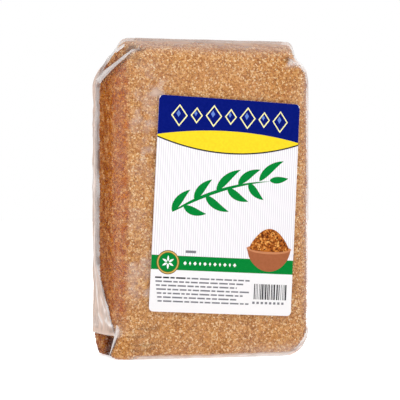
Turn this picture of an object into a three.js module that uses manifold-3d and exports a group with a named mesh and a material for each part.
import * as THREE from 'three';
import { ConvexGeometry } from 'three/addons/geometries/ConvexGeometry.js';
import { mergeVertices } from 'three/addons/utils/BufferGeometryUtils.js';
import Module from 'manifold-3d';

// Half-kilogram pouch of raw cane sugar in clear film. It stands on its base with its front
// towards -Y. Millimetres, +Z up, origin at the middle of the base.
const packHeight = 153.6;
const packWidth = 102;
const packDepth = 47;

// Upright edges: the rounder ones are where the sugar pushes the film out.
const edgeRadius = { frontLeft: 7, frontRight: 8, backLeft: 4, backRight: 6 };
const roofEdgeRadius = 3.5;
const baseEdgeRadius = 3;

// The front panel curves back towards its right side, and every panel is slightly crowned.
const frontSweep = 6;
const frontSweepStart = -10;
const backCrown = 1.4;
const sideCrown = 0.5;

// The top is a low roof, whose ridge is the folded seal.
const ridgeY = -1;
const roofSlopeFront = 0.29;
const roofSlopeBack = 0.25;
const roofSlopeLean = 0.07;

// Slanted ends of the roof, where the side panels are tucked in: where each slant leaves the
// side panel, how far it comes in at the ridge, how much further for each millimetre in front
// of the ridge and behind it, and how softly it blends.
const leftSlant = { startZ: 134, inset: 9.3, flareFront: 0.27, flareBack: 0.27, blend: 3 };
const rightSlant = { startZ: 136, inset: 5.4, flareFront: 0.78, flareBack: 0.2, blend: 3 };
const footSlant = { reach: 9.2, fade: 0.12, blend: 5 };

// Lips of the front flaps that lie over the tucks: points of each lip from its top to its foot,
// with the depth of the groove behind it, how far the groove reaches, and how far its edge rises.
const leftLip = [
  { at: [-40, -21, 148.4], depth: 3, reach: 13, rise: 3 },
  { at: [-51, 13, 134.5], depth: 0.9, reach: 8, rise: 1 },
];
const rightLip = [
  { at: [38, -21.5, 144.8], depth: 1, reach: 5, rise: 1 },
  { at: [46.8, -14.5, 138.6], depth: 2, reach: 6, rise: 1.5 },
  { at: [51, 13, 132.5], depth: 0.6, reach: 6, rise: 1 },
];

// Folded seal strip, lying on the back slope of the roof.
const sealLength = 76;
const sealCentreX = 4;
const sealWidth = 10;
const sealThickness = 0.9;

// Paper label on the front.
const labelWidth = 72.5;
const labelHeight = 102.5;
const labelCornerRadius = 2;
const labelThickness = 0.4;
const labelGap = 0.3;
const labelCentreX = 4.2;
const labelCentreZ = 72.3;
const labelTurn = THREE.MathUtils.degToRad(-2.9);

// Fineness of the faceted skins.
const panelSteps = { x: 22, y: 12, z: 30 };
const labelSteps = { across: 26, up: 14, corner: 3 };

const film = new THREE.MeshStandardMaterial({ color: 0xc8945f, roughness: 0.35, metalness: 0 });
const paper = new THREE.MeshStandardMaterial({ color: 0xf7f5f4, roughness: 0.5, metalness: 0 });

const halfWidth = packWidth / 2;
const halfDepth = packDepth / 2;

const wasm = await Module();
wasm.setup();

// Larger of two distances, with the edge between them rounded over the width k.
function softMax(a, b, k) {
  const overlap = Math.max(k - Math.abs(a - b), 0) / k;
  return Math.max(a, b) + (overlap * overlap * k) / 4;
}

// Distance outside the rounded edge of radius r where two walls meet.
function roundedCorner(a, b, r) {
  const outside = Math.hypot(Math.max(a + r, 0), Math.max(b + r, 0));
  return Math.min(Math.max(a + r, b + r), 0) + outside - r;
}

// Plan of the pack: distance outside its crowned, rounded rectangle.
function planDistance(x, y) {
  const sweep = Math.max(0, (x - frontSweepStart) / (halfWidth - frontSweepStart));
  const frontWall = -y - (halfDepth - frontSweep * sweep ** 3);
  const backWall = y - (halfDepth - backCrown * (x / halfWidth) ** 4);
  const sideWall = Math.abs(x) - (halfWidth - sideCrown * (y / halfDepth) ** 2);
  if (y < 0) {
    return roundedCorner(sideWall, frontWall, x < 0 ? edgeRadius.frontLeft : edgeRadius.frontRight);
  }
  return roundedCorner(sideWall, backWall, x < 0 ? edgeRadius.backLeft : edgeRadius.backRight);
}

// Height of the roof over a point of the plan.
function roofHeight(x, y) {
  const lean = (roofSlopeLean * x) / halfWidth;
  const slope = y < ridgeY ? roofSlopeFront + lean : roofSlopeBack;
  return packHeight - slope * Math.abs(y - ridgeY);
}

// Distance outside a slanted end of the roof; side is -1 on the left and 1 on the right.
function slantDistance(x, y, z, side, slant) {
  const rise = packHeight - slant.startZ;
  const flare = y < ridgeY ? slant.flareFront : slant.flareBack;
  const run = slant.inset + flare * Math.abs(y - ridgeY);
  return ((side * x - halfWidth) * rise + (z - slant.startZ) * run) / Math.hypot(rise, run);
}

// Distance outside the filled film, negative inside it.
function filmDistance(x, y, z) {
  const plan = planDistance(x, y);
  const upper = z > packHeight / 2;
  const cap = upper ? (z - roofHeight(x, y)) * 0.96 : -z;
  let d = roundedCorner(plan, cap, upper ? roofEdgeRadius : baseEdgeRadius);
  d = softMax(d, slantDistance(x, y, z, -1, leftSlant), leftSlant.blend);
  d = softMax(d, slantDistance(x, y, z, 1, rightSlant), rightSlant.blend);
  const reach = footSlant.reach - footSlant.fade * (y + halfDepth);
  const foot = (x - z - (halfWidth - reach)) * Math.SQRT1_2;
  return softMax(d, foot, footSlant.blend);
}

// Point where a line from inside the pack to a point outside it meets the film.
function meetFilm(inner, outer) {
  const point = new THREE.Vector3();
  let near = 0;
  let far = 1;
  for (let step = 0; step < 48; step++) {
    const middle = (near + far) / 2;
    point.lerpVectors(inner, outer, middle);
    if (filmDistance(point.x, point.y, point.z) < 0) {
      near = middle;
    } else {
      far = middle;
    }
  }
  return point;
}

// Even steps from -1 to 1, drawn closer together near both ends.
function gradedStep(index, count) {
  const bend = 1.25;
  return Math.sin((2 * index / count - 1) * bend) / Math.sin(bend);
}

// Skin of the filled film: the six sides of a grid, cast from a core onto the film.
function filmSkin() {
  const half = new THREE.Vector3(halfWidth, halfDepth, packHeight / 2);
  const box = half.clone().addScalar(4);
  const core = half.clone().subScalar(16);
  const sides = [
    ['y', -1, 'x', 'z'], ['y', 1, 'z', 'x'], ['x', 1, 'y', 'z'],
    ['x', -1, 'z', 'y'], ['z', 1, 'x', 'y'], ['z', -1, 'y', 'x'],
  ];
  const positions = [];
  const indices = [];
  for (const [axis, sign, across, up] of sides) {
    const first = positions.length / 3;
    const columns = panelSteps[across];
    const rows = panelSteps[up];
    for (let row = 0; row <= rows; row++) {
      for (let column = 0; column <= columns; column++) {
        const outer = new THREE.Vector3();
        outer[axis] = sign * box[axis];
        outer[across] = gradedStep(column, columns) * box[across];
        outer[up] = gradedStep(row, rows) * box[up];
        const inner = outer.clone().clamp(core.clone().negate(), core);
        outer.z += packHeight / 2;
        inner.z += packHeight / 2;
        const point = meetFilm(inner, outer);
        positions.push(point.x, point.y, Math.abs(point.z) < 1e-6 ? 0 : point.z);
      }
    }
    for (let row = 0; row < rows; row++) {
      for (let column = 0; column < columns; column++) {
        const a = first + row * (columns + 1) + column;
        const c = a + columns + 1;
        indices.push(a, a + 1, c + 1, a, c + 1, c);
      }
    }
  }
  const skin = new THREE.BufferGeometry();
  skin.setAttribute('position', new THREE.Float32BufferAttribute(positions, 3));
  skin.setIndex(indices);
  return skin;
}

function solidFrom(geometry) {
  const bare = geometry.clone();
  bare.deleteAttribute('normal');
  bare.deleteAttribute('uv');
  const merged = mergeVertices(bare, 1e-4);
  return new wasm.Manifold(new wasm.Mesh({
    numProp: 3,
    vertProperties: Float32Array.from(merged.attributes.position.array),
    triVerts: Uint32Array.from(merged.index.array),
  }));
}

function geometryFrom(solid) {
  const mesh = solid.getMesh();
  const geometry = new THREE.BufferGeometry();
  geometry.setAttribute('position', new THREE.Float32BufferAttribute(mesh.vertProperties, 3));
  geometry.setIndex(Array.from(mesh.triVerts));
  return geometry;
}

// Groove behind the lip of a fold: a wedge between the lip, the bottom of the groove and the
// far edge, each given by its two ends and drawn out beyond the film.
function grooveCutter(lip, bottom, far) {
  const corners = [...bottom];
  for (let end = 0; end < 2; end++) {
    for (const edge of [lip, far]) {
      corners.push(bottom[end].clone().lerp(edge[end], 4));
    }
  }
  return solidFrom(new ConvexGeometry(corners));
}

// Tucks at an end of the roof: the front flap lies over the side panel, and behind its lip the
// film goes in.
function roofTucks(side, slant, lip) {
  const rise = packHeight - slant.startZ;
  const inward = new THREE.Vector3(-side * rise, 0, -slant.inset).normalize();
  const cutters = [];
  for (let k = 1; k < lip.length; k++) {
    const ends = [lip[k - 1], lip[k]];
    const edge = ends.map((end) => new THREE.Vector3(...end.at));
    const along = edge[1].clone().sub(edge[0]).normalize();
    const back = inward.clone().cross(along).multiplyScalar(-side).normalize();
    const bottom = ends.map((end, n) => (
      edge[n].clone().addScaledVector(back, 1.2).addScaledVector(inward, end.depth)
    ));
    const far = ends.map((end, n) => (
      edge[n].clone().addScaledVector(back, end.reach).addScaledVector(inward, -end.rise)
    ));
    cutters.push(grooveCutter(edge, bottom, far));
  }
  return cutters;
}

// Tucks at the foot: the side panel ends in a lip, the front flap's lip leans back towards its
// foot, and the film between them is folded under.
function footTuck(side, lipZ, lipY, depth) {
  const outer = side * (halfWidth + 4);
  const inner = side * (halfWidth - depth);
  const innerBack = side * (halfWidth - depth * 0.5);
  const behind = halfDepth + 4;
  const footY = lipY + 11;
  const footZ = -4;
  const corners = [
    new THREE.Vector3(outer, lipY, lipZ - 1),
    new THREE.Vector3(outer, behind, lipZ + 2),
    new THREE.Vector3(inner, lipY + 2, lipZ - 3),
    new THREE.Vector3(innerBack, behind, lipZ - 1),
    new THREE.Vector3(outer, footY, footZ),
    new THREE.Vector3(outer, behind, footZ),
    new THREE.Vector3(inner + side, footY + 2, footZ),
    new THREE.Vector3(innerBack, behind, footZ),
  ];
  return solidFrom(new ConvexGeometry(corners));
}

// Seal strip, folded down onto the back slope just behind the ridge.
function sealStrip() {
  const strip = new THREE.BoxGeometry(sealLength, sealWidth, 2 * sealThickness);
  strip.translate(sealCentreX, sealWidth / 2, 0);
  strip.rotateX(-Math.atan(roofSlopeBack));
  strip.translate(0, ridgeY + 0.6, packHeight - 0.45);
  return solidFrom(strip);
}

function pouchGeometry() {
  let pouch = solidFrom(filmSkin());
  const tucks = [
    ...roofTucks(-1, leftSlant, leftLip),
    ...roofTucks(1, rightSlant, rightLip),
    footTuck(-1, 11, -19, 5),
    footTuck(1, 12, -13, 5),
  ];
  for (const tuck of tucks) {
    pouch = pouch.subtract(tuck);
  }
  return geometryFrom(pouch.add(sealStrip()));
}

// Front surface of the film at a place on the front panel.
function frontY(x, z) {
  return meetFilm(new THREE.Vector3(x, 0, z), new THREE.Vector3(x, -halfDepth - 6, z)).y;
}

// Heights of the label's grid rows, closer together where its corners round.
function labelRows() {
  const straight = labelHeight / 2 - labelCornerRadius;
  const rows = [];
  for (let k = 0; k < labelSteps.corner; k++) {
    const angle = (k / labelSteps.corner) * (Math.PI / 2);
    rows.push(-straight - labelCornerRadius * Math.cos(angle));
  }
  for (let k = 0; k <= labelSteps.up; k++) {
    rows.push(straight * (2 * k / labelSteps.up - 1));
  }
  for (let k = labelSteps.corner - 1; k >= 0; k--) {
    rows.push(-rows[k]);
  }
  return rows;
}

// The label: a thin sheet that follows the front panel, turned slightly clockwise.
function labelGeometry() {
  const rows = labelRows();
  const columns = labelSteps.across + 1;
  const sheetSize = rows.length * columns;
  const positions = [];
  for (const lift of [labelGap, labelGap + labelThickness]) {
    for (const v of rows) {
      const beyond = Math.max(0, Math.abs(v) - (labelHeight / 2 - labelCornerRadius));
      const corner = Math.sqrt(Math.max(0, labelCornerRadius ** 2 - beyond ** 2));
      const reach = labelWidth / 2 - labelCornerRadius + corner;
      for (let column = 0; column < columns; column++) {
        const u = reach * (2 * column / labelSteps.across - 1);
        const x = labelCentreX + u * Math.cos(labelTurn) - v * Math.sin(labelTurn);
        const z = labelCentreZ + u * Math.sin(labelTurn) + v * Math.cos(labelTurn);
        positions.push(x, frontY(x, z) - lift, z);
      }
    }
  }
  const indices = [];
  const quad = (a, b, c, d) => indices.push(a, b, c, a, c, d);
  for (let row = 0; row < rows.length - 1; row++) {
    for (let column = 0; column < columns - 1; column++) {
      const a = row * columns + column;
      quad(a, a + columns, a + columns + 1, a + 1);
      quad(sheetSize + a, sheetSize + a + 1, sheetSize + a + columns + 1, sheetSize + a + columns);
    }
  }
  const rim = [];
  for (let column = 0; column < columns; column++) {
    rim.push(column);
  }
  for (let row = 1; row < rows.length; row++) {
    rim.push(row * columns + columns - 1);
  }
  for (let column = columns - 2; column >= 0; column--) {
    rim.push((rows.length - 1) * columns + column);
  }
  for (let row = rows.length - 2; row > 0; row--) {
    rim.push(row * columns);
  }
  rim.forEach((a, k) => {
    const b = rim[(k + 1) % rim.length];
    quad(a, b, sheetSize + b, sheetSize + a);
  });
  const label = new THREE.BufferGeometry();
  label.setAttribute('position', new THREE.Float32BufferAttribute(positions, 3));
  label.setIndex(indices);
  return label;
}

function namedMesh(name, geometry, material) {
  const mesh = new THREE.Mesh(geometry, material);
  mesh.name = name;
  return mesh;
}

// The label stands proud of the front, so the pack stands half that far back of the middle.
const sugarPouch = new THREE.Group();
sugarPouch.position.y = (labelGap + labelThickness) / 2;
sugarPouch.add(namedMesh('pouch', pouchGeometry(), film));
sugarPouch.add(namedMesh('label', labelGeometry(), paper));

export default sugarPouch;
